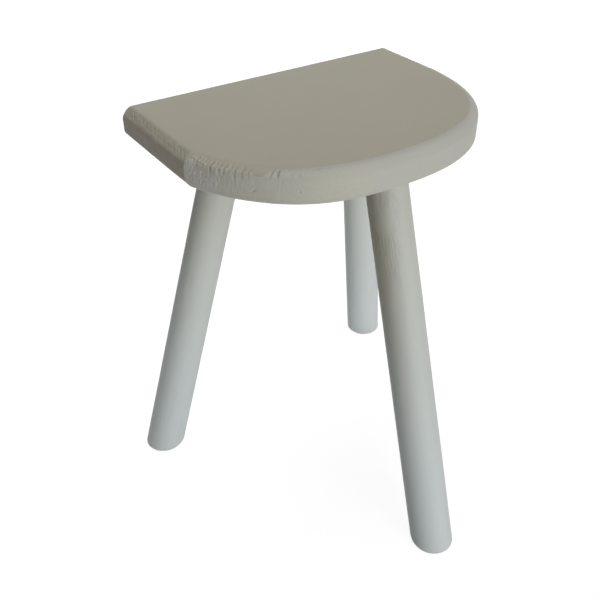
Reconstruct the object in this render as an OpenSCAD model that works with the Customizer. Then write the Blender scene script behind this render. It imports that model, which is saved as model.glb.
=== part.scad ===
// Three-legged milking stool with a D-shaped plank seat.
// The stool stands on z = 0 with the origin under the middle of its feet.
// The seat's straight edge faces +Y and its curved front faces -Y.

/* [Seat] */
// Width of the seat along its straight back edge
seat_w = 300; // [260:5:360]
// Depth of the seat from the back edge to the foremost point of the curve
seat_d = 214; // [190:1:260]
// Thickness of the seat plank
seat_t = 27; // [24:1:40]
// Height of the seat's top above the floor
seat_h = 387; // [300:1:480]
// Distance from the origin back to the seat's straight edge
back_y = 133; // [100:1:160]
// Length of the straight left end of the plank
left_end = 115; // [60:1:130]
// Length of the straight right end of the plank
right_end = 76; // [60:1:130]
// Fullness of the front curve, where 2 is an ellipse and more is squarer
front_fullness = 2.5; // [2:0.1:3.5]
// How far the foremost point lies to the left of the middle
front_shift = 8; // [0:1:12]
// How far the oval of the front curve reaches past the plank's ends
front_overrun = 0.5; // [0.5:0.5:20]
// Radius of the rounded upper edge
upper_round = 8; // [2:0.5:10]
// Radius of the softened lower edge
lower_round = 3; // [1:0.5:6]

/* [Legs] */
// Diameter of a leg where it meets the seat
leg_top_d = 37; // [32:0.5:44]
// Diameter of a leg at its foot
leg_foot_d = 41; // [32:0.5:50]
// Radius of the worn edge around each foot
foot_round = 6; // [1:0.5:9]
// Distance between the centres of the back legs under the seat
back_leg_spacing = 148; // [110:1:190]
// Distance of the back legs' centres from the straight edge
back_leg_inset = 52; // [40:1:80]
// Distance of the front leg's centre from the foremost point of the curve
front_leg_inset = 29; // [26:1:60]

/* [Leg angles] */
// Lean of the back left leg from upright
back_left_lean = 14; // [8:0.5:20]
// Turn of that lean from straight sideways towards the back
back_left_turn = 21; // [0:1:60]
// Lean of the back right leg from upright
back_right_lean = 17.5; // [8:0.5:20]
// Turn of that lean from straight sideways towards the back
back_right_turn = 42.5; // [0:0.5:60]
// Lean of the front leg from upright
front_lean = 16.5; // [8:0.5:20]
// Turn of that lean from straight forwards towards the right
front_turn = 1; // [-10:1:10]

/* [Joints] */
// Diameter of the tenon on top of each leg
tenon_d = 25; // [18:0.5:28]
// Wood left between a socket and the seat's top
socket_roof = 5; // [3:0.5:8]
// Gap between a tenon's side and its socket, filled with glue
glue_gap = 0.1; // [0.05:0.05:0.3]
// Gap between a tenon's end and the floor of its socket
end_gap = 1; // [0.5:0.5:2]
// Length of the wedge that spreads each tenon
wedge_len = 14; // [8:1:16]
// Thickness of a wedge at its butt
wedge_butt = 3.2; // [2:0.2:5]
// Thickness of a wedge at its tip
wedge_tip = 0.8; // [0.4:0.1:1.2]

/* [Hidden] */

seat_bottom = seat_h - seat_t;
front_y = back_y - seat_d;
back_leg_y = back_y - back_leg_inset;
tenon_r = tenon_d / 2;
socket_r = tenon_r + glue_gap;

// Steps along each half of the front curve, and around a rounded edge
curve_steps = 26;
round_steps = 6;
// Height of the thin slices that the rounded plank is wrapped around
slice = 0.02;
// Overlap past a face that a cut goes through
past = 5;

// A leg's place: x and y of its axis under the seat, its lean, and the compass turn of its lean
back_left = [-back_leg_spacing / 2, back_leg_y, back_left_lean, 180 - back_left_turn];
back_right = [back_leg_spacing / 2, back_leg_y, back_right_lean, back_right_turn];
front = [0, front_y + front_leg_inset, front_lean, front_turn - 90];

paint_seat = [0.63, 0.61, 0.56];
paint_leg = [0.70, 0.71, 0.68];
bare_wood = [0.72, 0.58, 0.40];

// Depth of a socket along its axis: its upper corner stays socket_roof under the seat's top
function socket_depth(lean) = (seat_t - socket_roof - socket_r * sin(lean)) / cos(lean);
function tenon_len(lean) = socket_depth(lean) - end_gap;
function leg_len(lean) = seat_bottom / cos(lean);

// One half of the front curve, from the foremost point to the corner of an end.
// side is -1 for the left half and 1 for the right half.
function half_curve(side, end_len) =
    let (
        reach = seat_w / 2 - side * -front_shift,
        half_w = seat_w / 2 + front_overrun + front_shift,
        part = reach / half_w,
        rise = pow(1 - pow(part, front_fullness), 1 / front_fullness),
        depth = (seat_d - end_len) / (1 - rise),
        last = atan2(pow(part, front_fullness / 2), pow(rise, front_fullness / 2))
    )
    [for (k = [0 : curve_steps])
        let (turn = last * k / curve_steps)
        [
            -front_shift + side * half_w * pow(sin(turn), 2 / front_fullness),
            front_y + depth * (1 - pow(cos(turn), 2 / front_fullness))
        ]
    ];

// The plank's outline, run on past the straight edge so that this edge can stay sharp
module long_outline() {
    left_half = half_curve(-1, left_end);
    right_half = half_curve(1, right_end);
    run_on = back_y + 2 * upper_round + lower_round;
    polygon(concat(
        [[-seat_w / 2, run_on]],
        [for (k = [curve_steps : -1 : 0]) left_half[k]],
        [for (k = [1 : curve_steps]) right_half[k]],
        [[seat_w / 2, run_on]]
    ));
}

// A thin slice of the plank, drawn in by inset everywhere but at the straight edge
module plank_slice(inset) {
    linear_extrude(slice)
        intersection() {
            offset(delta = -inset)
                long_outline();
            translate([-seat_w, back_y - 2 * seat_d])
                square([2 * seat_w, 2 * seat_d]);
        }
}

// The plank with its upper edge rounded and its lower edge softened, before it is bored
module plank() {
    hull() {
        for (k = [0 : round_steps]) {
            turn = 90 * k / round_steps;
            translate([0, 0, seat_h - upper_round * (1 - sin(turn)) - slice])
                plank_slice(upper_round * (1 - cos(turn)));
            translate([0, 0, seat_bottom + lower_round * (1 - sin(turn))])
                plank_slice(lower_round * (1 - cos(turn)));
        }
    }
}

// Moves its children to a leg's axis: z = 0 where the axis meets the underside of the seat.
// They lean with the leg but keep their own x and y, so that a wedge lies across the seat's grain.
module on_leg_axis(place) {
    translate([place[0], place[1], seat_bottom])
        rotate([0, -place[2], place[3]])
            rotate([0, 0, -place[3]])
                children();
}

// The blind hole that holds a leg's tenon
module socket(place) {
    on_leg_axis(place)
        translate([0, 0, -tenon_d])
            cylinder(h = tenon_d + socket_depth(place[2]), r = socket_r, $fn = 64);
}

module seat() {
    color(paint_seat)
        difference() {
            plank();
            socket(back_left);
            socket(back_right);
            socket(front);
        }
}

// The wedge's shape, lying across the seat's grain and running down from the socket's floor
module wedge_blank(place) {
    butt_z = socket_depth(place[2]);
    on_leg_axis(place)
        rotate([90, 0, 0])
            linear_extrude(tenon_d + past, center = true)
                polygon([
                    [-wedge_butt / 2, butt_z],
                    [wedge_butt / 2, butt_z],
                    [wedge_tip / 2, butt_z - wedge_len],
                    [-wedge_tip / 2, butt_z - wedge_len]
                ]);
}

// The tapering round of a leg, running on past both of its ends
module shank(place) {
    long = leg_len(place[2]);
    spread = (leg_foot_d - leg_top_d) / 2 / long;
    over = leg_foot_d;
    on_leg_axis(place)
        translate([0, 0, -long - over])
            cylinder(
                h = long + 2 * over,
                r1 = leg_foot_d / 2 + spread * over,
                r2 = leg_top_d / 2 - spread * over,
                $fn = 64
            );
}

// The space between the floor and the underside of the seat
module under_seat() {
    wide = 4 * seat_w;
    translate([-wide / 2, -wide / 2, 0])
        cube([wide, wide, seat_bottom]);
}

// What is rasped off round a foot, so that its edge meets the floor in an eighth of a circle.
// It is a round ring, turned a quarter so that its start lies clear of the leg's own start.
module foot_rasp(place) {
    long = leg_len(place[2]);
    flat_r = leg_foot_d / 2 - foot_round;
    rim_r = flat_r + foot_round * sin(45);
    rim_z = foot_round * (1 - cos(45));
    translate([
        place[0] + long * sin(place[2]) * cos(place[3]),
        place[1] + long * sin(place[2]) * sin(place[3]),
        0
    ])
        rotate([0, 0, 90])
            rotate_extrude($fn = 96)
                difference() {
                    polygon([
                        [flat_r, -past],
                        [flat_r, 0],
                        [rim_r, rim_z],
                        [rim_r + leg_foot_d, rim_z + leg_foot_d],
                        [rim_r + leg_foot_d, -past]
                    ]);
                    translate([flat_r, foot_round])
                        circle(r = foot_round, $fn = 64);
                }
}

module leg(place) {
    color(paint_leg)
        difference() {
            union() {
                intersection() {
                    shank(place);
                    under_seat();
                }
                on_leg_axis(place)
                    translate([0, 0, -past])
                        cylinder(h = past + tenon_len(place[2]), r = tenon_r, $fn = 64);
            }
            wedge_blank(place);
            foot_rasp(place);
        }
}

module wedge(place) {
    color(bare_wood)
        intersection() {
            wedge_blank(place);
            on_leg_axis(place)
                translate([0, 0, -tenon_d])
                    cylinder(h = 2 * tenon_d + seat_t, r = tenon_r, $fn = 64);
        }
}

module leg_back_left() {
    leg(back_left);
}

module leg_back_right() {
    leg(back_right);
}

module leg_front() {
    leg(front);
}

module wedge_back_left() {
    wedge(back_left);
}

module wedge_back_right() {
    wedge(back_right);
}

module wedge_front() {
    wedge(front);
}

seat();
leg_back_left();
leg_back_right();
leg_front();
wedge_back_left();
wedge_back_right();
wedge_front();
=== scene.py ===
"""Dresses the three-legged milking stool: a painted plank seat on three hand-shaved, painted legs.

The scene is in metres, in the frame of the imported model. The stool's own sizes are in millimetres, as a
maker would give them, and MM turns them into metres.
"""

import functools
import math
import random

import bmesh
import bpy
import numpy as np
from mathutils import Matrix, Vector, noise


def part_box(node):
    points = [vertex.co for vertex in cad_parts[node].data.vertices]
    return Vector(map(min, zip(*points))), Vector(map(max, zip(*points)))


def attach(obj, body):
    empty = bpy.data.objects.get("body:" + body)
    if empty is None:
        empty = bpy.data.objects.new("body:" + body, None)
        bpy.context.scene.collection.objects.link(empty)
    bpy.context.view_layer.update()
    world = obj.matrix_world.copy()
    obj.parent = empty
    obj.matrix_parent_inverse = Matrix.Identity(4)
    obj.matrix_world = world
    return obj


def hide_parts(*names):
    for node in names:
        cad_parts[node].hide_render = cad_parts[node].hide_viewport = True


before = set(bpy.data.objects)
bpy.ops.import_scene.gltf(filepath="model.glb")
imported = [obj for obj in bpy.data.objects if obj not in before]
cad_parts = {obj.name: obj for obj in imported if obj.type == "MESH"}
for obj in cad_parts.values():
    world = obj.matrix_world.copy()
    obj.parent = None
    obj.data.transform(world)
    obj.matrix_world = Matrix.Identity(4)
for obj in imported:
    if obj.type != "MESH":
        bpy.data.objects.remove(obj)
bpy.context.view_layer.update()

MM = 0.001

# ------------------------ the seat's sizes, in millimetres

seat_low, seat_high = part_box("seat")
SEAT_W = (seat_high.x - seat_low.x) / MM
SEAT_D = (seat_high.y - seat_low.y) / MM
SEAT_TOP = seat_high.z / MM
SEAT_UNDER = seat_low.z / MM
BACK_Y = seat_high.y / MM
FRONT_Y = seat_low.y / MM
LEFT_END = 115
RIGHT_END = 76
FULLNESS = 2.5
FRONT_SHIFT = 8
FRONT_OVERRUN = 0.5
UPPER_ROUND = 8
LOWER_ROUND = 3
BACK_ARRIS = 0.9

# The rasped left end has fuller rounds than the rest of the rim, the upper one with a flat across it.
END_UPPER_ROUND = 11
END_UNDER_ROUND = 6.8
END_FLAT = (4.5, 11)
END_FLAT_DEPTH = 0.3

# The left front corner was drawn by hand: it stands a little forward and to the right of the curve's own.
CORNER_PULL = (0.6, -1.4)
CORNER_REACH = 7

# The torn band beside the left corner: where it starts in from the brow, and where along the front it ends.
TORN_START = -3.5
TORN_END = 78

# Beside the left corner a second flat runs down from the torn band, as far as this, and dies out further on.
LOWER_FLAT = 13
LOWER_FLAT_END = 38

# How the seat's mesh is laid out. On the flat top and underside the rows are given by their distance from
# the rounds, on the rounds and the upright face by their number. Round the seat the points lie a spacing
# apart, closer together where the edge is chipped. The back face has a narrow frame round it, and edges
# sharper than SHARP_ANGLE stay crisp.
TOP_ROWS = (12, 10, 8, 6.5, 5.2, 4.2, 3.4, 2.7, 2.0, 1.4, 0.8, 0.4)
UPPER_ROUND_ROWS = 22
FACE_ROWS = 27
LOWER_ROUND_ROWS = 7
UNDER_ROWS = (0.7, 1.6, 2.8, 4.2, 6.5)
LEFT_SPACING = 0.75
CHIPPED_SPACING = 0.42
BRUISED_SPACING = 0.8
SOUND_SPACING = 2.0
RIGHT_SPACING = 1.6
CHIPPED_TO = 125
BRUISED_TO = 160
BACK_FRAME = 0.5
SHARP_ANGLE = math.radians(50)

# ------------------------ the joints and the legs, in millimetres

TENON_D = 25
SOCKET_ROOF = 5
GLUE_GAP = 0.1
SOCKET_R = TENON_D / 2 + GLUE_GAP
END_GAP = 1
WEDGE_LEN = 14
WEDGE_BUTT = 3.2
WEDGE_TIP = 0.8
LEG_TOP_D = 37
LEG_FOOT_D = 41
FOOT_ROUND = 6

# The rows of a tenon's mesh, the sides of a socket, the kerf's reach across the tenon as a share of its
# diameter, and the way that the side of a leg with the seat's painted shade faces.
TENON_ROWS = 8
SOCKET_SIDES = 64
KERF_REACH = 1.3
LEFTWARDS = (-0.83, 0.56)

# Each leg: where its axis meets the underside, its lean and the heading of that lean, how far down from the
# seat its raised grain reaches and how deep that grain is, the seed of its unevenness, how much lighter or
# darker its paint is made as painted light and shade, and how much painted shade from the seat lies on its
# left side.
LEGS = {
    "back_left": dict(x=-74, y=81, lean=14, heading=159, grain_reach=60, grain_depth=0.1, seed=3,
                      paint_level=1.05, grime=0.15),
    "back_right": dict(x=74, y=81, lean=17.5, heading=42.5, grain_reach=60, grain_depth=0.06, seed=11,
                       paint_level=1.13, grime=0.1),
    "front": dict(x=0, y=-52, lean=16.5, heading=-89, grain_reach=130, grain_depth=0.34, seed=5,
                  paint_level=0.97, grime=0.95),
}

# ------------------------ colours, as they are seen


def seen(red, green, blue):
    """A colour given as it looks on a screen, from 0 to 255, as the linear colour that a shader takes."""
    parts = []
    for value in (red, green, blue):
        share = value / 255
        parts.append(share / 12.92 if share <= 0.04045 else ((share + 0.055) / 1.055) ** 2.4)
    return (*parts, 1.0)


# The top's colour, warmer and darker than the edge's: a painted warm shade for the light on what faces up.
TOP_PAINTED_WARM_SHADE = seen(169, 164, 149)
EDGE_PAINT = seen(178, 178, 170)
# A warmer colour for the edge along most of the front.
EDGE_WARMER = seen(180, 179, 167)
EDGE_COOL = seen(183, 181, 174)
# The left end's colour, darker and warmer than the edge's: painted shade on the end that faces away from the
# light.
END_PAINTED_SHADE = seen(162, 155, 140)
# The legs' colours: darker and warmer high up, a painted shade under the seat, and lighter and cooler low
# down, a painted light from the floor.
LEG_PAINT_SHADED_HIGH = seen(191, 193, 185)
LEG_PAINT_LIT_LOW = seen(196, 203, 202)
# The warm, dark colour of the painted shade that the seat casts on each leg's left side.
LEG_PAINTED_SHADE = seen(160, 156, 138)
# Painted shade for the hollows of the chips, splinters, rasp strokes, scratches and plane marks, and the
# cracks of the legs' raised grain.
CHIP_SHADE = seen(112, 116, 96)
BARE_SHADE = seen(152, 137, 123)
RAW_OAK = seen(190, 158, 116)
RAW_OAK_DARK = seen(150, 116, 78)
FLOOR_WHITE = seen(236, 236, 236)


# ------------------------ placing objects and laying nodes


def placed(name, data):
    """A new object, linked into the scene."""
    made = bpy.data.objects.new(name, data)
    bpy.context.collection.objects.link(made)
    return made


class Bench:
    """Lays nodes in a tree and joins them, so that a formula reads like one."""

    def __init__(self, tree):
        self.tree = tree

    def feed(self, socket, value):
        if isinstance(value, bpy.types.NodeSocket):
            self.tree.links.new(value, socket)
        elif socket.type == "VECTOR":
            socket.default_value = value[:3]
        else:
            socket.default_value = value

    def lay(self, kind, inputs=None, **settings):
        made = self.tree.nodes.new(kind)
        for name, value in settings.items():
            setattr(made, name, value)
        for key, value in (inputs or {}).items():
            self.feed(made.inputs[key], value)
        return made

    def calc(self, operation, *values, clamp=False):
        made = self.lay("ShaderNodeMath", dict(enumerate(values)), operation=operation, use_clamp=clamp)
        return made.outputs[0]

    def plus(self, *values):
        return functools.reduce(lambda total, value: self.calc("ADD", total, value), values)

    def times(self, *values):
        return functools.reduce(lambda total, value: self.calc("MULTIPLY", total, value), values)

    def minus(self, first, second):
        return self.calc("SUBTRACT", first, second)

    def blend(self, *parts):
        """The sum of some values, each given with the share of it that counts."""
        return self.plus(*[self.times(value, share) for value, share in parts])

    def vector(self, x, y, z):
        return self.lay("ShaderNodeCombineXYZ", {"X": x, "Y": y, "Z": z}).outputs[0]

    def split(self, vector):
        return self.lay("ShaderNodeSeparateXYZ", {0: vector}).outputs

    def place(self):
        """Where each point lies in its object."""
        return self.lay("ShaderNodeTexCoord").outputs["Object"]

    def carried(self, name, output="Fac"):
        """What the mesh carries under this name at each of its points."""
        return self.lay("ShaderNodeAttribute", attribute_name=name).outputs[output]

    def ramp(self, value, low, high, to_low=0.0, to_high=1.0, kind="SMOOTHSTEP"):
        """value, taken from the range low..high to the range to_low..to_high, and held at its ends."""
        inputs = {"Value": value, "From Min": low, "From Max": high, "To Min": to_low, "To Max": to_high}
        return self.lay("ShaderNodeMapRange", inputs, interpolation_type=kind).outputs[0]

    def cloud(self, vector, scale, detail, roughness, seed):
        """Soft noise around 0.5, that repeats nowhere."""
        inputs = {"Vector": vector, "W": seed, "Scale": scale, "Detail": detail, "Roughness": roughness}
        return self.lay("ShaderNodeTexNoise", inputs, noise_dimensions="4D").outputs[0]

    def streaks(self, vector, length, *settings):
        """Noise that is drawn out by length along each axis, as grain and brush strokes are."""
        inputs = {0: vector, 1: tuple(1 / part for part in length)}
        drawn_out = self.lay("ShaderNodeVectorMath", inputs, operation="MULTIPLY").outputs[0]
        return self.cloud(drawn_out, *settings)

    def swing(self, value, amount, low=0.2, high=0.8):
        """Noise turned into a change of tone, from -amount to amount."""
        return self.ramp(value, low, high, -amount, amount, "LINEAR")


# ------------------------ materials


def new_material(name):
    material = bpy.data.materials.new(name)
    material.use_nodes = True
    material.node_tree.nodes.clear()
    return material, Bench(material.node_tree)


def mix_colour(bench, share, first, second):
    inputs = {0: share, 6: first, 7: second}
    return bench.lay("ShaderNodeMix", inputs, data_type="RGBA").outputs[2]


def shade_colour(bench, colour, amount):
    """colour, made lighter or darker by amount, which is around 1."""
    return bench.lay("ShaderNodeVectorMath", {0: colour, "Scale": amount}, operation="SCALE").outputs[0]


def finish_paint(bench, colour, relief, relief_height, roughness):
    bump = bench.lay("ShaderNodeBump", {"Height": relief, "Distance": relief_height, "Strength": 1.0})
    shader = bench.lay("ShaderNodeBsdfPrincipled", {
        "Base Color": colour,
        "Roughness": roughness,
        "Specular IOR Level": 0.28,
        "IOR": 1.46,
        "Normal": bump.outputs[0],
    })
    bench.lay("ShaderNodeOutputMaterial", {"Surface": shader.outputs[0]})


def seat_paint():
    """Old matt paint on the plank, cooler on the edge, with painted light and shade: the top warmer and
    darker, a painted warm shade on what faces up, a darker left end, lighter and darker stretches of the
    edge, and painted shade in the chips.
    """
    material, bench = new_material("seat_paint")
    place = bench.place()
    upper, chip, bare, grimy, cool, left_end, level = map(
        bench.carried, ("upper", "chip", "bare", "grimy", "cool", "left_end", "level"))

    patches = bench.cloud(place, 14, 3, 0.55, 1.0)
    mottle = bench.cloud(place, 120, 3, 0.6, 2.0)
    brushed = bench.streaks(place, (28, 1, 1), 900, 2, 0.5, 3.0)
    grain = bench.streaks(place, (40, 1, 1), 240, 3, 0.6, 4.0)
    peel = bench.cloud(place, 1500, 1, 0.5, 5.0)

    colour = EDGE_PAINT
    # the hollows of the chips and marks take painted shade
    shaded_chips = bench.calc("MULTIPLY", chip, 0.4, clamp=True)
    torn = bench.calc("MULTIPLY", bare, 0.6, clamp=True)
    for share, coat in ((grimy, EDGE_WARMER), (cool, EDGE_COOL), (left_end, END_PAINTED_SHADE), (upper, TOP_PAINTED_WARM_SHADE),
                        (shaded_chips, CHIP_SHADE), (torn, BARE_SHADE)):
        colour = mix_colour(bench, share, colour, coat)
    # the top is made a little lighter round a point a little forward of its middle
    centre = (0.0, -0.02, SEAT_TOP * MM)
    off_centre = bench.lay("ShaderNodeVectorMath", {0: place, 1: centre}, operation="DISTANCE")
    lighter_middle = bench.ramp(off_centre.outputs["Value"], 0.02, 0.15, 0.018, 0.0)
    blotched = bench.swing(bench.cloud(place, 170, 2, 0.6, 6.0), 0.07, 0.3, 0.7)
    pebbled = bench.swing(bench.cloud(place, 650, 2, 0.6, 7.0), 0.045, 0.3, 0.7)
    shade = bench.plus(bench.ramp(patches, 0.2, 0.8, 0.975, 1.025, "LINEAR"), bench.swing(mottle, 0.02),
                       bench.swing(brushed, 0.01), bench.swing(grain, 0.008), bench.times(lighter_middle, upper),
                       bench.times(blotched, left_end), bench.times(pebbled, grimy))
    colour = shade_colour(bench, colour, bench.times(shade, level))

    relief = bench.blend((brushed, 0.25), (grain, 0.25), (peel, 0.14), (mottle, 0.3))
    roughness = bench.ramp(mottle, 0.25, 0.75, 0.52, 0.66, "LINEAR")
    finish_paint(bench, colour, relief, 0.15 * MM, roughness)
    return material


def leg_paint():
    """The same matt paint brushed lengthwise on a round, cooler towards the foot, with painted light and
    shade: lighter and cooler low down for the light from the floor, darker and warmer high up and on the left
    side for the seat's shade, and each leg lighter or darker as a whole.
    """
    material, bench = new_material("leg_paint")
    place = bench.place()
    wrap = bench.carried("wrap", "Vector")
    chip, level, grime = map(bench.carried, ("chip", "level", "grime"))
    height = bench.split(place)[2]

    patches = bench.streaks(wrap, (1, 1, 2.5), 32, 3, 0.55, 1.0)
    brushed = bench.streaks(wrap, (1, 1, 34), 620, 3, 0.6, 2.0)
    grain = bench.streaks(wrap, (1, 1, 22), 190, 3, 0.6, 3.0)
    peel = bench.cloud(place, 1500, 1, 0.5, 5.0)

    # painted light from the floor towards the foot, painted shade up under the seat
    colour = mix_colour(bench, bench.ramp(height, 0.06, 0.34), LEG_PAINT_LIT_LOW, LEG_PAINT_SHADED_HIGH)
    # painted shade from the seat on the leg's left side, up under the seat
    colour = mix_colour(bench, grime, colour, LEG_PAINTED_SHADE)
    # painted shade in the cracks of the raised grain
    colour = mix_colour(bench, bench.calc("MULTIPLY", chip, 0.3, clamp=True), colour, CHIP_SHADE)
    shade = bench.plus(bench.ramp(patches, 0.2, 0.8, 0.975, 1.025, "LINEAR"), bench.swing(brushed, 0.025),
                       bench.swing(grain, 0.02))
    # each leg's level makes it lighter or darker as a whole: painted light and shade
    colour = shade_colour(bench, colour, bench.times(shade, level))

    relief = bench.blend((brushed, 0.5), (grain, 0.5), (peel, 0.12))
    roughness = bench.ramp(brushed, 0.25, 0.75, 0.5, 0.64, "LINEAR")
    finish_paint(bench, colour, relief, 0.22 * MM, roughness)
    return material


def bare_wood():
    """Unpainted oak for the wedges: growth bands crossed by short dark pores."""
    material, bench = new_material("bare_wood")
    place = bench.place()
    bands = bench.streaks(place, (1, 1, 9), 420, 3, 0.6, 1.0)
    pores = bench.streaks(place, (1, 1, 26), 2600, 1, 0.5, 2.0)
    colour = mix_colour(bench, bench.ramp(bands, 0.35, 0.65), RAW_OAK, RAW_OAK_DARK)
    colour = shade_colour(bench, colour, bench.ramp(pores, 0.3, 0.45, 0.72, 1.0))
    relief = bench.blend((bands, 0.5), (pores, 0.5))
    finish_paint(bench, colour, relief, 0.2 * MM, bench.ramp(bands, 0.3, 0.7, 0.62, 0.8, "LINEAR"))
    return material


# ------------------------ the seat: outline


def half_front(side, end_len, steps=2400):
    """Half of the front curve, from its foremost point to the corner of an end. side is -1 or 1."""
    reach = SEAT_W / 2 + side * FRONT_SHIFT
    half_w = SEAT_W / 2 + FRONT_OVERRUN + FRONT_SHIFT
    part = reach / half_w
    rise = (1 - part ** FULLNESS) ** (1 / FULLNESS)
    depth = (SEAT_D - end_len) / (1 - rise)
    last = math.atan2(part ** (FULLNESS / 2), rise ** (FULLNESS / 2))
    turn = np.linspace(0, last, steps)
    x = -FRONT_SHIFT + side * half_w * np.sin(turn) ** (2 / FULLNESS)
    y = FRONT_Y + depth * (1 - np.cos(turn) ** (2 / FULLNESS))
    return np.column_stack([x, y])


def lengths_along(points):
    steps = np.linalg.norm(np.diff(points, axis=0), axis=1)
    return np.concatenate([[0.0], np.cumsum(steps)])


def front_curve():
    """The whole front curve from the left corner to the right one, its outward directions and lengths."""
    left = half_front(-1, LEFT_END)[::-1]
    right = half_front(1, RIGHT_END)[1:]
    rough = np.vstack([left, right])
    along = lengths_along(rough)
    even = np.linspace(0, along[-1], 2400)
    curve = np.column_stack([np.interp(even, along, rough[:, axis]) for axis in (0, 1)])
    heading = np.gradient(curve, axis=0)
    heading /= np.linalg.norm(heading, axis=1)[:, None]
    outward = np.column_stack([heading[:, 1], -heading[:, 0]])
    return curve, outward, even


CURVE, OUTWARD, ALONG = front_curve()
FRONT_LEN = ALONG[-1]


def drawn_in(inset):
    """Where the front curve, moved in by inset, starts and ends, and its points: it is cut off by the
    plank's ends, which are moved in as far."""
    moved = CURVE - OUTWARD * inset
    inside = np.abs(moved[:, 0]) < SEAT_W / 2 - inset
    first = np.argmax(inside)
    last = len(inside) - 1 - np.argmax(inside[::-1])
    starts = []
    for outer, inner in ((max(first - 1, 0), first), (min(last + 1, len(moved) - 1), last)):
        over = abs(moved[outer, 0]) - (SEAT_W / 2 - inset)
        under = (SEAT_W / 2 - inset) - abs(moved[inner, 0])
        share = 0.0 if over <= 0 else over / (over + under)
        starts.append(ALONG[outer] + (ALONG[inner] - ALONG[outer]) * share)
    return moved, starts[0], starts[1]


def columns():
    """Places round the seat, from the back left corner to the back right one, closer together where the
    edge is chipped. Each is a stretch (left end, front curve, right end) and a share of its length."""
    steps = round(LEFT_END / LEFT_SPACING)
    places = [("left", k / steps) for k in range(steps)]
    marks = np.concatenate([
        np.arange(0, CHIPPED_TO, CHIPPED_SPACING),
        np.arange(CHIPPED_TO, BRUISED_TO, BRUISED_SPACING),
        np.linspace(BRUISED_TO, FRONT_LEN, round((FRONT_LEN - BRUISED_TO) / SOUND_SPACING) + 1),
    ])
    places += [("front", mark / FRONT_LEN) for mark in marks]
    steps = round(RIGHT_END / RIGHT_SPACING)
    places += [("right", (k + 1) / steps) for k in range(steps)]
    return places


def edge_rows():
    """The rows that run round the edge, from the top inwards round to the underside. Each is an inset from
    the outline, a height, how far down the edge it lies from the brow of the upper round, and the way
    that its surface faces: outwards and upwards."""
    rows = [(UPPER_ROUND + back, SEAT_TOP, -back, 0.0, 1.0) for back in TOP_ROWS]
    for k in range(UPPER_ROUND_ROWS + 1):
        turn = math.pi / 2 * k / UPPER_ROUND_ROWS
        rows.append((UPPER_ROUND * (1 - math.sin(turn)), SEAT_TOP - UPPER_ROUND * (1 - math.cos(turn)),
                     UPPER_ROUND * turn, math.sin(turn), math.cos(turn)))
    upper_end = UPPER_ROUND * math.pi / 2
    face = SEAT_TOP - SEAT_UNDER - UPPER_ROUND - LOWER_ROUND
    for k in range(1, FACE_ROWS + 1):
        drop = face * k / FACE_ROWS
        rows.append((0.0, SEAT_TOP - UPPER_ROUND - drop, upper_end + drop, 1.0, 0.0))
    for k in range(1, LOWER_ROUND_ROWS + 1):
        turn = math.pi / 2 * k / LOWER_ROUND_ROWS
        rows.append((LOWER_ROUND * (1 - math.cos(turn)), SEAT_UNDER + LOWER_ROUND * (1 - math.sin(turn)),
                     upper_end + face + LOWER_ROUND * turn, math.cos(turn), -math.sin(turn)))
    for back in UNDER_ROWS:
        rows.append((LOWER_ROUND + back, SEAT_UNDER, upper_end + face + LOWER_ROUND * math.pi / 2 + back,
                     0.0, -1.0))
    return rows


# ------------------------ the seat: wear round its edge


def smooth_step(value, low, high):
    share = np.clip((value - low) / (high - low), 0, 1)
    return share * share * (3 - 2 * share)


def gouge(round_by, down, at, depth_down, long, wide, deep, slant, sharp=0.75):
    """A tear in the edge, deepest towards its right side, where it breaks off steeply. round_by and down
    are the points' places on the edge; slant is how far the tear moves back for each step down."""
    across = (round_by - at + slant * (down - depth_down)) / wide
    length = (down - depth_down) / long
    body = np.clip(1 - length ** 2 * 4, 0, 1) ** 0.6
    rise = np.clip((across + 0.5) / sharp, 0, 1)
    fall = np.clip((0.5 - across) / (1 - sharp), 0, 1)
    return deep * body * np.minimum(rise, fall)


def groove(round_by, down, start, end, wide, deep):
    """A scratch from start to end, given as places on the edge."""
    path = np.array(end, float) - np.array(start, float)
    size = np.linalg.norm(path)
    ahead = path / size
    from_start = (round_by - start[0], down - start[1])
    along = from_start[0] * ahead[0] + from_start[1] * ahead[1]
    aside = from_start[0] * ahead[1] - from_start[1] * ahead[0]
    beyond = np.maximum(np.maximum(-along, along - size), 0)
    distance = np.hypot(aside, beyond)
    return deep * np.clip(1 - distance / (wide / 2), 0, 1)


def cloud_at(points, scale, seed):
    """Soft noise from about -1 to 1 at each point, where scale is the size of a lump in millimetres."""
    shift = Vector((seed * 17.3, seed * 5.1, seed * 9.7))
    return np.array([noise.noise(Vector(p) / scale + shift) for p in points])


def planed(down, start, end):
    """How deep a straight cut from start to end, given as places down the edge, bites into its profile."""

    def place(low):
        turn = np.clip(low / UPPER_ROUND, 0, math.pi / 2)
        inset = UPPER_ROUND * (1 - np.sin(turn)) + np.maximum(-low, 0)
        drop = UPPER_ROUND * (1 - np.cos(turn)) + np.maximum(low - UPPER_ROUND * math.pi / 2, 0)
        return inset, drop, turn

    near_inset, near_drop, _ = place(np.asarray(start, float))
    far_inset, far_drop, _ = place(np.asarray(end, float))
    inset, drop, turn = place(down)
    run = near_inset - far_inset
    fall = far_drop - near_drop
    above = (fall * (near_inset - inset) - run * (drop - near_drop)) / np.hypot(run, fall)
    within = (down > start) & (down < end)
    return np.where(within, np.maximum(above, 0) / np.cos(turn - np.arctan2(fall, run)), 0)


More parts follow.
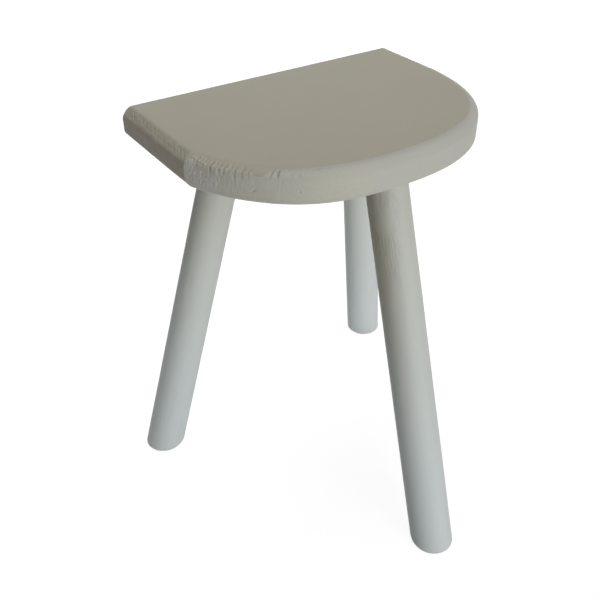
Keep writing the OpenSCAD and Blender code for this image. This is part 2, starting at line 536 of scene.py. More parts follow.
# The splinters torn out of the band beside the left corner: where each breaks off, how far it reaches down
# the edge, and how deep it is.
SPLINTERS = (
    (6.5, 8, 0.35), (10, 9, 0.45), (13.5, 12, 0.7), (16.8, 9, 0.4), (20.4, 12, 0.6), (23.4, 9, 0.4),
    (27.5, 15, 1.15), (31.7, 10, 0.45), (35.6, 13, 0.8), (39.8, 14, 0.85), (44.6, 11, 0.45),
    (49.4, 15, 0.85), (55.6, 15, 0.8), (61, 13, 0.6),
)

# The dents further round the edge: where each is round the edge and down it, its length, width and depth.
DENTS = (
    (94, 5.5, 4, 4, 0.3), (100, 6.4, 4.6, 3.4, 0.45), (104.5, 4.4, 3.6, 3, 0.3),
    (116, 0.6, 2.6, 2.6, 0.5), (119, 0.2, 2, 1.8, 0.3), (136, 12.3, 2.4, 1.6, 0.25),
)


def torn_line(round_by):
    """How far down the edge the flat of the torn band reaches, where its splinters break off."""
    return 2.8 + 4.2 * smooth_step(round_by, 4, 26) - 1.5 * smooth_step(round_by, 52, 66)


def torn_brow(round_by):
    """How far down the edge the top's warmer, darker colour reaches, a painted warm shade on what faces up.
    In the torn band beside the left corner it comes down in tongues between the splinters; further round it
    is the brow of the sound edge."""
    band = torn_line(round_by) + 2.0 + 1.0 * smooth_step(round_by, 20, 50)
    for at, _, deep in SPLINTERS:
        band = band - 6.0 * deep * np.exp(-((round_by - at - 1.8) / 1.3) ** 2)
    sound = np.interp(round_by, (84, 100, 130, 175, 240, 340), (-1.0, -1.5, -3.4, -2.6, -2.4, 0.8))
    gone = smooth_step(round_by, TORN_END - 8, TORN_END + 6)
    return band * (1 - gone) + sound * gone


def paint_level(round_by, down):
    """How much lighter or darker each stretch of the edge is made, as painted light and shade: lighter by the
    left corner and along most of the upper round, darker from about 45 to 105 mm round the front and along
    the lower arris."""
    face = np.interp(round_by, (0, 14, 26, 45, 70, 90, 105, 150, 175),
                     (1.04, 1.04, 1.0, 0.995, 0.965, 0.972, 0.988, 0.99, 1.0))
    brow = np.interp(round_by, (15, 30, 58, 72, 84, 95, 115, 130, 175),
                     (0.0, 0.03, 0.035, 0.05, 0.01, -0.02, -0.02, 0.025, 0.035))
    under = 0.04 * smooth_step(down, 25.5, 28) * (1 - smooth_step(round_by, 160, 200))
    return face + brow * np.exp(-((down - 0.5) / 4.5) ** 2) - under


def deepest(tool, round_by, down, marks):
    """How deep a set of marks, all made by one tool, goes at each point."""
    wear = np.zeros_like(down)
    for mark in marks:
        wear = np.maximum(wear, tool(round_by, down, *mark))
    return wear


def torn_places(round_by, down):
    """How deep the splinters, tears and dents of the front edge are, and how deep the two bare tears are."""
    tears = [(at, 0.2 + long * 0.42, long, 2.3 + 1.2 * deep, 0.8 * deep, 0.03, 0.55)
             for at, long, deep in SPLINTERS]
    tears += [(67.5, 4.0, 8, 2.0, 0.3, 0.9), (74, 3.2, 8, 2.2, 0.3, 1.1)]
    tears += [(*dent, 0.3) for dent in DENTS]
    bare = deepest(gouge, round_by, down, [(79.2, 4.6, 10.5, 2.6, 0.75, 0.42),
                                           (83.4, 4.6, 8.6, 4.4, 0.95, 0.18, 0.8)])
    return np.maximum(deepest(gouge, round_by, down, tears), bare), bare


# What crosses the front edge's upright face: a drying crack, the three strokes of a nick like a tick, and a
# nail hole. Each is its two ends, its width and its depth.
SCRATCHES = (
    ((87, 9.8), (85.6, 23.6), 0.9, 0.3), ((57.5, 18.5), (61.6, 14.5), 0.8, 0.2),
    ((58.5, 17.8), (63.6, 21.4), 1.2, 0.4), ((64.2, 21.4), (66.6, 19.6), 1.6, 0.85),
    ((101, 19.3), (101, 19.6), 1.5, 1.1),
)


def scratches(round_by, down):
    """The scratches of the front edge, and a brush hair that is raised in its paint."""
    raised = groove(round_by, down, (69.5, 25.5), (74.0, 17.0), 1.1, 0.3)
    return deepest(groove, round_by, down, SCRATCHES) - raised


def plane_marks(round_by, down, dice):
    """Short upright strokes in the paint of the front edge's face, below the splinters."""
    strokes = []
    for _ in range(110):
        at = dice.uniform(2, 60)
        top = dice.uniform(9, 23)
        foot = top + dice.uniform(1.2, 2.6)
        lean = dice.uniform(0.0, 0.9)
        strength = 0.8 if at < 38 else 0.35
        strokes.append(((at + lean, top), (at, foot), dice.uniform(1.3, 2.3),
                        strength * dice.uniform(0.2, 0.5)))
    return deepest(groove, round_by, down, strokes)


def rasp_marks(round_by, down, dice):
    """Strokes of a coarse rasp down the upper round of the left end."""
    strokes = []
    at = -LEFT_END + 3.0
    while at < -2.5:
        # how far down, how long, how wide, how deep, and how slanted
        strokes.append((at, dice.uniform(3.0, 8.0), dice.uniform(5, 8), dice.uniform(1.8, 2.8),
                        dice.uniform(0.45, 0.8), dice.uniform(-0.9, -0.4), 0.5))
        at += dice.uniform(2.2, 3.6)
    return deepest(gouge, round_by, down, strokes)


# ------------------------ the seat: mesh


def round_left_end(points, radius, from_top):
    """Rounds an edge of the left end to a radius larger than the rim's own."""
    aside = radius - (points[:, :, 0] + SEAT_W / 2)
    level = SEAT_TOP - points[:, :, 2] if from_top else points[:, :, 2] - SEAT_UNDER
    inward = radius - level
    far = np.hypot(aside, inward)
    over = np.where((aside > 0) & (inward > 0), np.maximum(far - radius, 0), 0) / np.maximum(far, 1e-6)
    points[:, :, 0] += over * aside
    points[:, :, 2] += over * inward * (-1 if from_top else 1)
    return points


def pull_corner(points, round_by):
    """Draws the left front corner to where it stands, and what lies near it a little less far."""
    near = np.exp(-np.abs(round_by) / CORNER_REACH)
    for axis in (0, 1):
        points[:, :, axis] += CORNER_PULL[axis] * near
    return points


def lay_out_edge(places, rows):
    """Places of the edge's rows and columns before any wear, the way that each column faces outwards, how
    far round the outline it lies, and how far down the edge."""
    shape = (len(rows), len(places))
    points = np.zeros((*shape, 3))
    way = np.zeros((*shape, 2))
    round_by = np.zeros(shape)
    down = np.zeros(shape)
    for r, (inset, height, low, _, _) in enumerate(rows):
        moved, start, end = drawn_in(inset)
        left_y = np.interp(start, ALONG, moved[:, 1])
        right_y = np.interp(end, ALONG, moved[:, 1])
        for c, (stretch, share) in enumerate(places):
            if stretch == "left":
                spot = (inset - SEAT_W / 2, BACK_Y + share * (left_y - BACK_Y))
                way[r, c] = (-1.0, 0.0)
                gone = -(1 - share) * LEFT_END
            elif stretch == "right":
                spot = (SEAT_W / 2 - inset, right_y + share * (BACK_Y - right_y))
                way[r, c] = (1.0, 0.0)
                gone = FRONT_LEN + share * RIGHT_END
            else:
                gone = start + share * (end - start)
                spot = [np.interp(gone, ALONG, moved[:, axis]) for axis in (0, 1)]
                way[r, c] = [np.interp(gone, ALONG, OUTWARD[:, axis]) for axis in (0, 1)]
            points[r, c] = (spot[0], spot[1], height)
            round_by[r, c] = gone
            down[r, c] = low
    return points, way, round_by, down


def soften_corner(points, round_by):
    """Takes the sharpness off the left front corner, as old paint does."""
    soft = np.exp(-(round_by[0] / 1.3) ** 2)
    near = [c for c in range(1, points.shape[1] - 1) if soft[c] > 0.02]
    for _ in range(3):
        eased = points.copy()
        for c in near:
            middle = (points[:, c - 1] + points[:, c + 1]) / 2
            eased[:, c] += soft[c] * 0.5 * (middle - points[:, c])
        points = eased
    return points


def edge_clouds(points):
    """Soft noise from 0 to 1 at each point of the edge: in lumps, in ripples and in crumbs."""
    flat_points = points.reshape(-1, 3)
    return [0.5 + 0.5 * cloud_at(flat_points, scale, seed).reshape(points.shape[:2])
            for scale, seed in ((26, 1), (6, 2), (2.2, 3))]


def front_flats(round_by, down):
    """How deep the two flats beside the left corner are: the torn band's, and the fainter one below it."""
    in_band = smooth_step(round_by, -0.5, 3) * (1 - smooth_step(round_by, TORN_END, TORN_END + 12))
    line = torn_line(round_by)
    lower_share = 0.5 * smooth_step(round_by, 0, 14) * (1 - smooth_step(round_by, 16, LOWER_FLAT_END))
    return planed(down, TORN_START, line) * in_band + planed(down, line, line + LOWER_FLAT) * lower_share


def rasped_flat(down, lumps, ripple):
    """How deep the flat across the left end's upper round is. It widens and narrows along the end."""
    full = END_FLAT[1] - END_FLAT[0]
    half = full / 2 + 1.6 * (lumps - 0.5) + 1.6 * (ripple - 0.5)
    middle = END_FLAT[0] + half
    deepest = END_FLAT_DEPTH * (2 * half / full) ** 2
    return deepest * np.maximum(1 - ((down - middle) / half) ** 2, 0)


def unevenness(round_by, down, lumps, ripple, crumble):
    """How far handwork and wear have taken the whole edge down, most roughly beside the left corner."""
    rough = (1 - smooth_step(round_by, 60, 130)) * 0.8 + 0.2
    return smooth_step(down, -2, 4) * (0.2 * lumps + 0.16 * ripple * rough + 0.2 * crumble * rough ** 2)


def edge_tints_and_painted_light(round_by, down, on_left, clouds):
    """What the seat's paint is told at each point, much of it painted light and shade: how much of the top's
    warmer, darker colour lies there, how warm and how cool the edge is, whether it is on the left end, which
    is painted as shaded, and how much lighter or darker it is made."""
    lumps, ripple, crumble = clouds
    # where the top's warmer, darker colour, a painted warm shade on what faces up, gives way to the cooler
    # paint of the edge
    wavy = torn_brow(round_by) + 1.6 * (crumble - 0.5)
    upper = 1 - smooth_step(down, wavy - 1.1, wavy + 1.1)
    upper = upper * (1 - on_left) + (1 - smooth_step(down + 3 * (ripple - 0.5), 4, 12)) * on_left
    grimy = smooth_step(down, -1, 3) * (1 - smooth_step(round_by, 140, 175)) * (1 - on_left)
    cool_from = 6 + 0.25 * round_by + 5 * (ripple - 0.5)
    cool = smooth_step(down, cool_from, cool_from + 3) * (1 - smooth_step(round_by, 36.5, 39))
    # the edge's tints and its painted light and shade end short of the flat top and underside
    rim = smooth_step(down, -4, 0) * (1 - smooth_step(down, 29, 33))
    # the rasped band of the left end is darker along its brow and paler in its middle than its face, and the
    # whole end a little darker: painted shade along the brow and over the end, and painted light where the
    # band's flat catches the light
    wander = down + 2.4 * (lumps - 0.5) + 2 * (ripple - 0.5)
    dark_brow = np.exp(-((wander - 1) / 1.8) ** 2)
    pale_middle = np.exp(-((wander - 7.2) / 3) ** 2)
    # each stretch of the edge made lighter or darker: painted light and shade
    level = 1 + (paint_level(round_by, down) - 1) * (1 - on_left) * rim
    level += (0.2 * pale_middle - 0.09 * dark_brow - 0.03) * on_left * rim
    return {"upper": upper, "grimy": grimy * rim, "cool": cool * rim, "left_end": on_left * rim,
            "level": level}


def seat_mesh():
    """The plank with its worn edge, as one closed mesh."""
    rows = edge_rows()
    points, way, round_by, down = lay_out_edge(columns(), rows)
    points = round_left_end(points, END_UPPER_ROUND, True)
    points = round_left_end(points, END_UNDER_ROUND, False)
    points = soften_corner(pull_corner(points, round_by), round_by)
    out = np.array([row[3] for row in rows])
    up = np.array([row[4] for row in rows])
    rising = np.broadcast_to(up[:, None, None], (*down.shape, 1))
    facing = np.concatenate([way * out[:, None, None], rising], 2)

    clouds = edge_clouds(points)
    lumps, ripple, crumble = clouds
    on_left = 1 - smooth_step(round_by, -1.0, 0.4)
    dice = random.Random(4)
    torn, bare = torn_places(round_by, down)
    rasped = rasp_marks(round_by, down, dice)
    marks = np.maximum(scratches(round_by, down), plane_marks(round_by, down, dice))
    total = front_flats(round_by, down)
    total += rasped_flat(down, lumps, ripple) * on_left
    total += torn * (0.5 + 0.7 * crumble) + rasped + marks
    total += unevenness(round_by, down, *clouds)
    worn = smooth_step(down, -3.5, 0) * (1 - smooth_step(down, 6, 11)) * (1 - smooth_step(round_by, 35, 75))
    total += 0.35 * worn * crumble * (1 - on_left)
    # the middle of the underside, where the sockets are bored, is a true plane
    total *= 1 - smooth_step(down, 33.5, 38)
    points = points - facing * total[:, :, None]
    points[:, 0, 1] = BACK_Y
    points[:, -1, 1] = BACK_Y

    chips = np.maximum(torn, rasped) - bare
    tints_and_painted_light = edge_tints_and_painted_light(round_by, down, on_left, clouds)
    # the chip colour is painted shade in the hollows of the chips, rasp strokes, scratches and plane marks
    tints_and_painted_light["chip"] = np.clip(1.8 * (chips - 0.15) + 0.4 * marks, 0, 1)
    tints_and_painted_light["bare"] = np.minimum(bare / 0.8, 1.0)
    return close_plank(points, tints_and_painted_light)


def close_plank(points, tints_and_painted_light):
    """Joins the rows round the edge, and closes the top, the underside and the straight back."""
    mesh_work = bmesh.new()
    layers = {name: mesh_work.verts.layers.float.new(name) for name in tints_and_painted_light}
    row_count, column_count = points.shape[:2]
    grid = []
    for r in range(row_count):
        line = []
        for c in range(column_count):
            corner = mesh_work.verts.new(points[r, c] * MM)
            for name, values in tints_and_painted_light.items():
                corner[layers[name]] = float(values[r, c])
            line.append(corner)
        grid.append(line)
    for r in range(row_count - 1):
        for c in range(column_count - 1):
            mesh_work.faces.new((grid[r][c], grid[r + 1][c], grid[r + 1][c + 1], grid[r][c + 1]))
    mesh_work.faces.new(grid[0])
    mesh_work.faces.new(grid[-1][::-1])
    left_side = [line[0] for line in grid]
    right_side = [line[-1] for line in grid]
    mesh_work.faces.new(right_side + left_side[::-1])
    bmesh.ops.recalc_face_normals(mesh_work, faces=mesh_work.faces[:])
    ease_back_edges(mesh_work)
    made = bpy.data.meshes.new("seat_plank")
    mesh_work.to_mesh(made)
    mesh_work.free()
    return made


def ease_back_edges(mesh_work):
    """Takes the sharp corner off the edges of the plank's straight back face."""
    back_face = max(mesh_work.faces, key=lambda face: face.calc_center_median().y)
    bmesh.ops.bevel(mesh_work, geom=list(back_face.edges), offset=BACK_ARRIS * MM, segments=3,
                    profile=0.5, affect="EDGES", clamp_overlap=True)
    mesh_work.faces.ensure_lookup_table()
    back_face = max(mesh_work.faces, key=lambda face: (face.calc_area() if face.normal.y > 0.99 else 0))
    bmesh.ops.inset_region(mesh_work, faces=[back_face], thickness=BACK_FRAME * MM, use_even_offset=True)


def socket_depth(lean):
    """Depth of a socket along its leaning axis, so that its upper corner stays clear of the top."""
    return (SEAT_TOP - SEAT_UNDER - SOCKET_ROOF - SOCKET_R * math.sin(lean)) / math.cos(lean)


def socket_cutter(name, leg):
    """A round cutter along a leg's axis, from below the seat to the socket's floor."""
    lean = math.radians(leg["lean"])
    heading = math.radians(leg["heading"])
    up = Vector((-math.sin(lean) * math.cos(heading), -math.sin(lean) * math.sin(heading), math.cos(lean)))
    depth = socket_depth(lean)
    cutter = bmesh.new()
    bmesh.ops.create_cone(cutter, cap_ends=True, segments=SOCKET_SIDES, radius1=SOCKET_R * MM,
                          radius2=SOCKET_R * MM, depth=(depth + TENON_D) * MM)
    turn = up.to_track_quat("Z", "Y").to_matrix().to_4x4()
    middle = Vector((leg["x"], leg["y"], SEAT_UNDER)) + up * (depth - TENON_D) / 2
    cutter.transform(turn)
    bmesh.ops.translate(cutter, vec=middle * MM, verts=cutter.verts)
    mesh = bpy.data.meshes.new(name)
    cutter.to_mesh(mesh)
    cutter.free()
    return placed(name, mesh)


def build_seat(paint):
    seat = placed("seat_painted", seat_mesh())
    seat.data.materials.append(paint)
    for name, leg in LEGS.items():
        cutter = socket_cutter("cutter_" + name, leg)
        bore = seat.modifiers.new("bore", "BOOLEAN")
        bore.operation = "DIFFERENCE"
        bore.solver = "EXACT"
        bore.object = cutter
        made_plain(seat)
        bpy.data.objects.remove(cutter, do_unlink=True)
    seat.data.polygons.foreach_set("use_smooth", [True] * len(seat.data.polygons))
    seat.data.set_sharp_from_angle(angle=SHARP_ANGLE)
    return seat


def made_plain(piece):
    """Turns what the piece's modifiers make into its own plain mesh, and takes the modifiers off."""
    bpy.context.view_layer.update()
    graph = bpy.context.evaluated_depsgraph_get()
    ready = piece.evaluated_get(graph)
    plain = bpy.data.meshes.new_from_object(ready, preserve_all_data_layers=True, depsgraph=graph)
    piece.modifiers.clear()
    old = piece.data
    piece.data = plain
    bpy.data.meshes.remove(old)
    return piece


# ------------------------ the legs


def leg_sizes(leg, paint):
    """What the nodes are told about one leg, by the names of the tree's inputs."""
    lean = math.radians(leg["lean"])
    return {
        "Axis X": leg["x"] * MM,
        "Axis Y": leg["y"] * MM,
        "Seat underside": SEAT_UNDER * MM,
        "Lean": lean,
        "Heading": math.radians(leg["heading"]),
        "Top diameter": LEG_TOP_D * MM,
        "Foot diameter": LEG_FOOT_D * MM,
        "Foot round": FOOT_ROUND * MM,
        "Tenon diameter": TENON_D * MM,
        "Tenon length": (socket_depth(lean) - END_GAP) * MM,
        "Wedge length": WEDGE_LEN * MM,
        "Wedge butt": WEDGE_BUTT * MM,
        "Wedge tip": WEDGE_TIP * MM,
        "Wedge floor": socket_depth(lean) * MM,
        "Handwork depth": 0.45 * MM,
        "Brush depth": 0.10 * MM,
        "Grain depth": leg["grain_depth"] * MM,
        "Grain reach": leg["grain_reach"] * MM,
        "Paint level": leg["paint_level"],
        "Grime": leg["grime"],
        "Seed": float(leg["seed"]),
        "Sides": 256,
        "Rows": 300,
        "Paint": paint,
    }


def leg_tree(sizes):
    """Geometry nodes that shave one leg: a leaning, tapering round cut flat by the floor and the seat,
    with a softened foot, a tenon on top, a saw kerf for its wedge, lengthwise grain and the unevenness of
    handwork. sizes names the tree's inputs, and gives the values that they start from."""
    tree = bpy.data.node_groups.new("shaved_leg", "GeometryNodeTree")
    kinds = {float: "NodeSocketFloat", int: "NodeSocketInt", bpy.types.Material: "NodeSocketMaterial"}
    ids = {}
    for name, value in sizes.items():
        socket = tree.interface.new_socket(name, in_out="INPUT", socket_type=kinds[type(value)])
        socket.default_value = value
        ids[name] = socket.identifier
    tree.interface.new_socket("Geometry", in_out="OUTPUT", socket_type="NodeSocketGeometry")

    bench = Bench(tree)
    given = bench.lay("NodeGroupInput").outputs
    underside = given["Seat underside"]
    foot_round = given["Foot round"]
    calc, plus, minus, times = bench.calc, bench.plus, bench.minus, bench.times

    # an upright round whose rows are shared out between the shank and the tenon
    blank = bench.lay("GeometryNodeMeshCylinder", {
        "Vertices": given["Sides"], "Side Segments": given["Rows"], "Radius": 1.0, "Depth": 1.0,
    }, fill_type="NGON")
    spot = bench.split(bench.lay("GeometryNodeInputPosition").outputs[0])
    row = times(plus(spot[2], 0.5), given["Rows"])
    shank_rows = minus(given["Rows"], float(TENON_ROWS + 1))
    share = calc("MINIMUM", calc("DIVIDE", row, shank_rows), 1.0)
    crowd = plus(times(share, share, 0.6), times(share, 0.4))
    height = times(crowd, underside)

    # the leaning axis and the level slice of the leg at each height
    head_x = calc("COSINE", given["Heading"])
    head_y = calc("SINE", given["Heading"])
    side_x = times(head_y, -1.0)
    cos_lean = calc("COSINE", given["Lean"])
    sin_lean = calc("SINE", given["Lean"])
    tan_lean = calc("TANGENT", given["Lean"])

    def turned(ahead, aside):
        """What lies ahead and aside of the lean's heading, as x and y."""
        return bench.blend((ahead, head_x), (aside, side_x)), bench.blend((ahead, head_y), (aside, head_x))

    def on_axis(x, y, z):
        """The place that lies x and y from the point where the leg's axis meets the underside."""
        return bench.vector(plus(given["Axis X"], x), plus(given["Axis Y"], y), z)

    below_seat = minus(underside, height)
    top_r, foot_r, tenon_r = [times(given[part + " diameter"], 0.5) for part in ("Top", "Foot", "Tenon")]
    down_share = minus(1.0, calc("DIVIDE", height, underside))
    round_r = plus(top_r, times(minus(foot_r, top_r), down_share))

    # places on the leg's skin, wrapped so that noise has no seam: round the leg in x and y, down it in z
    wrap = bench.vector(times(spot[0], top_r), times(spot[1], top_r), height)
    hand = bench.streaks(wrap, (1, 1, 3.0), 26, 2, 0.5, given["Seed"])
    brush = bench.streaks(wrap, (1, 1, 24), 420, 2, 0.6, given["Seed"])
    fibre = bench.streaks(wrap, (1, 1, 8), 900, 2, 0.55, given["Seed"])
    crack = bench.ramp(fibre, 0.6, 0.4)
    broken = bench.ramp(bench.streaks(wrap, (1, 1, 2.5), 60, 1, 0.5, given["Seed"]), 0.38, 0.6)
    near_seat = bench.ramp(below_seat, 0.0, given["Grain reach"], 1.0, 0.0)
    cracked = times(crack, broken, near_seat)

    # how far each side faces left and a little back, and the painted shade of the seat that lies there under
    # the seat
    faces_left = bench.blend(*zip(turned(spot[0], spot[1]), LEFTWARDS))
    left_side = bench.ramp(faces_left, -0.3, 1.0)
    cracked = times(cracked, bench.ramp(faces_left, -0.6, 0.1))
    under_seat = bench.ramp(below_seat, 0.0, 0.26, 1.0, 0.0)
    grime = times(left_side, under_seat, given["Grime"])
    skin_r = minus(round_r, bench.blend((hand, given["Handwork depth"]), (brush, given["Brush depth"]),
                                        (cracked, given["Grain depth"])))

    ahead = plus(times(below_seat, tan_lean), calc("DIVIDE", times(spot[0], skin_r), cos_lean))
    skin = turned(ahead, times(spot[1], skin_r))

    # the softened foot: nothing stands further from the foot's middle than a rounded ring allows
    foot = [times(underside, tan_lean, head) for head in (head_x, head_y)]
    from_foot = [minus(part, middle) for part, middle in zip(skin, foot)]
    far = calc("SQRT", bench.blend(*zip(from_foot, from_foot)))
    flat_r = minus(foot_r, foot_round)
    rim_z = times(foot_round, 1 - math.cos(math.pi / 4))
    low = minus(foot_round, calc("MINIMUM", height, rim_z))
    arc = minus(times(foot_round, foot_round), times(low, low))
    ring = plus(flat_r, calc("SQRT", calc("MAXIMUM", arc, 0.0)), calc("MAXIMUM", minus(height, rim_z), 0.0))
    kept = calc("DIVIDE", calc("SMOOTH_MIN", far, ring, 2.4 * MM), far)
    shank = [plus(middle, times(part, kept)) for middle, part in zip(foot, from_foot)]

    # the tenon, square to the leaning axis at its end and level with the seat's underside at its root
    tenon_share = calc("DIVIDE", minus(minus(row, shank_rows), 1.0), float(TENON_ROWS))
    tenon_share = calc("MAXIMUM", tenon_share, 0.0)
    across = times(spot[0], tenon_r)
    root = times(across, tan_lean, -1.0)
    rise = plus(root, times(minus(given["Tenon length"], root), tenon_share))
    level = minus(times(across, cos_lean), times(rise, sin_lean))
    tenon = turned(level, times(spot[1], tenon_r))
    tenon_z = plus(underside, bench.blend((across, sin_lean), (rise, cos_lean)))

    on_tenon = calc("GREATER_THAN", row, plus(shank_rows, 0.5))
    leg = [plus(low_part, times(minus(high_part, low_part), on_tenon))
           for low_part, high_part in zip((*shank, height), (*tenon, tenon_z))]

    marked = blank.outputs["Mesh"]
    tints_and_painted_light = (("wrap", "FLOAT_VECTOR", wrap), ("chip", "FLOAT", cracked),
              ("level", "FLOAT", given["Paint level"]), ("grime", "FLOAT", grime))
    for name, kind, value in tints_and_painted_light:
        stored = bench.lay("GeometryNodeStoreNamedAttribute",
                           {"Geometry": marked, "Name": name, "Value": value}, data_type=kind, domain="POINT")
        marked = stored.outputs[0]
    round_sides = bench.lay("FunctionNodeBooleanMath", {
        0: blank.outputs["Top"], 1: blank.outputs["Bottom"],
    }, operation="NOR")
    smooth = bench.lay("GeometryNodeSetShadeSmooth", {
        "Geometry": marked, "Shade Smooth": round_sides.outputs[0],
    }, domain="FACE")
    shaped = bench.lay("GeometryNodeSetPosition", {"Geometry": smooth.outputs[0], "Position": on_axis(*leg)})

    # the kerf that the wedge is driven into, lying across the seat's grain
    kerf_blank = bench.lay("GeometryNodeMeshCube", {"Size": (1.0, 1.0, 1.0)})
    corner = bench.split(bench.lay("GeometryNodeInputPosition").outputs[0])
    butt_share = plus(corner[2], 0.5)
    thick = plus(given["Wedge tip"], times(minus(given["Wedge butt"], given["Wedge tip"]), butt_share))
    kerf_z = plus(given["Wedge floor"], times(minus(butt_share, 1.0), given["Wedge length"]))
    across = times(corner[1], times(given["Tenon diameter"], KERF_REACH))
    kerf_shape = bench.vector(times(corner[0], thick), across, kerf_z)
    tilted = bench.lay("ShaderNodeVectorRotate", {
        "Vector": kerf_shape, "Axis": bench.vector(side_x, head_x, 0.0),
        "Angle": times(given["Lean"], -1.0),
    }, rotation_type="AXIS_ANGLE")
    x, y, z = bench.split(tilted.outputs[0])
    kerf = bench.lay("GeometryNodeSetPosition", {
        "Geometry": kerf_blank.outputs["Mesh"], "Position": on_axis(x, y, plus(z, underside)),
    })
    sawn = bench.lay("GeometryNodeMeshBoolean", {0: shaped.outputs[0], 1: kerf.outputs[0]},
                     operation="DIFFERENCE", solver="EXACT")

    real = bench.lay("GeometryNodeRealizeInstances", {"Geometry": sawn.outputs[0]})
    painted = bench.lay("GeometryNodeSetMaterial", {"Geometry": real.outputs[0], "Material": given["Paint"]})
    bench.lay("NodeGroupOutput", {0: painted.outputs[0]})
    return tree, ids


def build_leg(tree, ids, name, sizes):
    piece = placed("leg_" + name + "_painted", bpy.data.meshes.new("leg_blank"))
    shaving = piece.modifiers.new("shaving", "NODES")
    shaving.node_group = tree
    for title, value in sizes.items():
        shaving[ids[title]] = value
    return made_plain(piece)


# ------------------------ the floor, the lamps and the camera

# Here sizes and distances are in metres.
FLOOR_HALF = 4.0
AMBIENT = 0.05
STOOL_MIDDLE = Vector((0.0, 0.0, 0.2))

# Each softbox: its azimuth, how far away and how high it stands, its width and height, and its power.
LAMPS = {
    "low_front": (0, 2.4, 0.28, 1.6, 0.5, 28.4),
    "low_back_right": (150, 2.4, 0.28, 1.6, 0.5, 44.4),
    "top_back": (180, 0.7, 2.7, 1.5, 1.5, 28.5),
    "top_right": (90, 0.7, 2.7, 1.5, 1.5, 4.2),
    "raised_front": (0, 2.13, 1.69, 1.5, 1.3, 11.1),
    "high_front_right": (60, 1.49, 2.33, 1.5, 1.5, 2.5),
}

CAMERA_AZIMUTH = math.radians(-33.79)
CAMERA_ELEVATION = math.radians(35.41)
CAMERA_DISTANCE = 0.8718
CAMERA_TARGET = Vector((-0.27, 73.81, 155.76)) * MM
LENS = 48.52
SENSOR = 36


def camera_sees(bench):
    """1 for what the camera sees straight, or by way of gloss or glass, and 0 for the light on the stool."""
    path = bench.lay("ShaderNodeLightPath").outputs
    seen_by = bench.calc("MAXIMUM", path["Is Camera Ray"], path["Is Glossy Ray"])
    return bench.calc("MAXIMUM", seen_by, path["Is Transmission Ray"])


def floor_material():
    """A pale floor. To the camera it glows nearly white, purer further off, and adds a little of the light
    that falls on it, so that the stool's shadow stays."""
    material, bench = new_material("pale_floor")
    place = bench.place()
    soft = bench.cloud(place, 3, 2, 0.5, 1.0)
    tone = shade_colour(bench, FLOOR_WHITE, bench.ramp(soft, 0.2, 0.8, 0.995, 1.005, "LINEAR"))
    matt = bench.lay("ShaderNodeBsdfDiffuse", {"Color": tone, "Roughness": 0.5})
    away = bench.lay("ShaderNodeVectorMath", {0: place}, operation="LENGTH").outputs["Value"]
    brightness = bench.ramp(away, 0.6, 1.5, 0.9, 1.0)
    glow = bench.lay("ShaderNodeEmission", {"Color": (1.0, 1.0, 1.0, 1.0), "Strength": brightness})
    dimmed = bench.lay("ShaderNodeBsdfDiffuse", {"Color": (0.26, 0.26, 0.26, 1.0), "Roughness": 0.5})
    shown = bench.lay("ShaderNodeAddShader", {0: glow.outputs[0], 1: dimmed.outputs[0]})
    mixed = bench.lay("ShaderNodeMixShader", {0: camera_sees(bench), 1: matt.outputs[0], 2: shown.outputs[0]})
    bench.lay("ShaderNodeOutputMaterial", {"Surface": mixed.outputs[0]})
    return material


def build_floor():
    mesh = bpy.data.meshes.new("floor")
    corners = [(x * FLOOR_HALF, y * FLOOR_HALF, 0) for x, y in ((-1, -1), (1, -1), (1, 1), (-1, 1))]
    mesh.from_pydata(corners, [], [(0, 1, 2, 3)])
    mesh.materials.append(floor_material())
    floor = placed("floor", mesh)


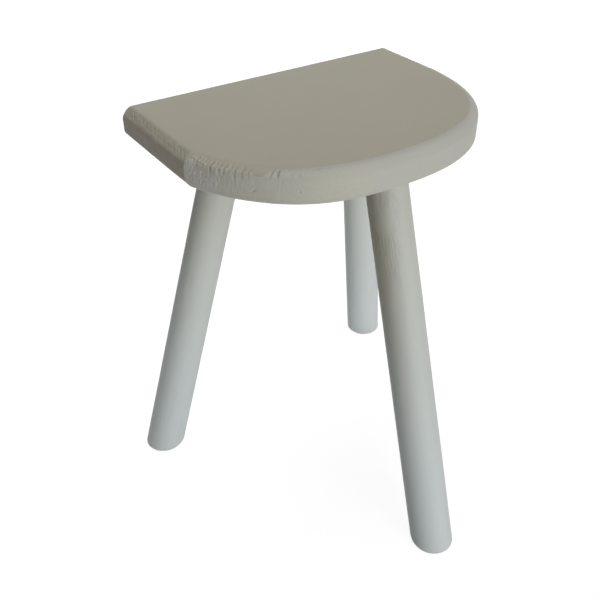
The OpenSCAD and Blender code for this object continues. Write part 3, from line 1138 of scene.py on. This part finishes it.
def build_world():
    """Even, neutral light from all round; the camera sees plain white."""
    world = bpy.data.worlds.new("studio")
    world.use_nodes = True
    world.node_tree.nodes.clear()
    bench = Bench(world.node_tree)
    fill = bench.lay("ShaderNodeBackground", {"Color": (1.0, 1.0, 1.0, 1.0), "Strength": AMBIENT})
    white = bench.lay("ShaderNodeBackground", {"Color": (1.0, 1.0, 1.0, 1.0), "Strength": 1.0})
    mixed = bench.lay("ShaderNodeMixShader", {0: camera_sees(bench), 1: fill.outputs[0], 2: white.outputs[0]})
    bench.lay("ShaderNodeOutputWorld", {"Surface": mixed.outputs[0]})
    bpy.context.scene.world = world


def soft_lamp(name, azimuth, reach, height, width, tall, power):
    """A softbox that looks at the stool from reach away and from its own height. Azimuth 0 is the curved
    front and 90 the right end."""
    turn = math.radians(azimuth)
    spot = Vector((math.sin(turn) * reach, -math.cos(turn) * reach, height))
    lamp = bpy.data.lights.new(name, "AREA")
    lamp.shape = "RECTANGLE"
    lamp.size = width
    lamp.size_y = tall
    lamp.energy = power
    holder = placed(name, lamp)
    holder.location = spot
    holder.rotation_euler = (spot - STOOL_MIDDLE).to_track_quat("Z", "Y").to_euler()


def build_camera():
    """The stool is seen from its front left and from well above the seat."""
    level_reach = math.cos(CAMERA_ELEVATION)
    away = Vector((math.sin(CAMERA_AZIMUTH) * level_reach, -math.cos(CAMERA_AZIMUTH) * level_reach,
                   math.sin(CAMERA_ELEVATION)))
    lens = bpy.data.cameras.new("camera")
    lens.sensor_width = SENSOR
    lens.lens = LENS
    lens.clip_start = 0.05
    lens.clip_end = 50
    camera = placed("camera", lens)
    camera.location = CAMERA_TARGET + away * CAMERA_DISTANCE
    camera.rotation_euler = away.to_track_quat("Z", "Y").to_euler()
    bpy.context.scene.camera = camera


# ------------------------ putting it together

build_camera()
build_world()
for lamp_name, lamp_sizes in LAMPS.items():
    soft_lamp(lamp_name, *lamp_sizes)
build_floor()
bpy.context.scene.view_settings.view_transform = "Standard"

seat_finish = seat_paint()
leg_finish = leg_paint()
wood_finish = bare_wood()

seat = build_seat(seat_finish)
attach(seat, "root")
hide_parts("seat")

shaved_leg, leg_ids = leg_tree(leg_sizes(LEGS["front"], leg_finish))
for leg_name, leg in LEGS.items():
    piece = build_leg(shaved_leg, leg_ids, leg_name, leg_sizes(leg, leg_finish))
    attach(piece, "root")
    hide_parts("leg_" + leg_name)
    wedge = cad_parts["wedge_" + leg_name]
    for place in wedge.material_slots:
        place.material = wood_finish
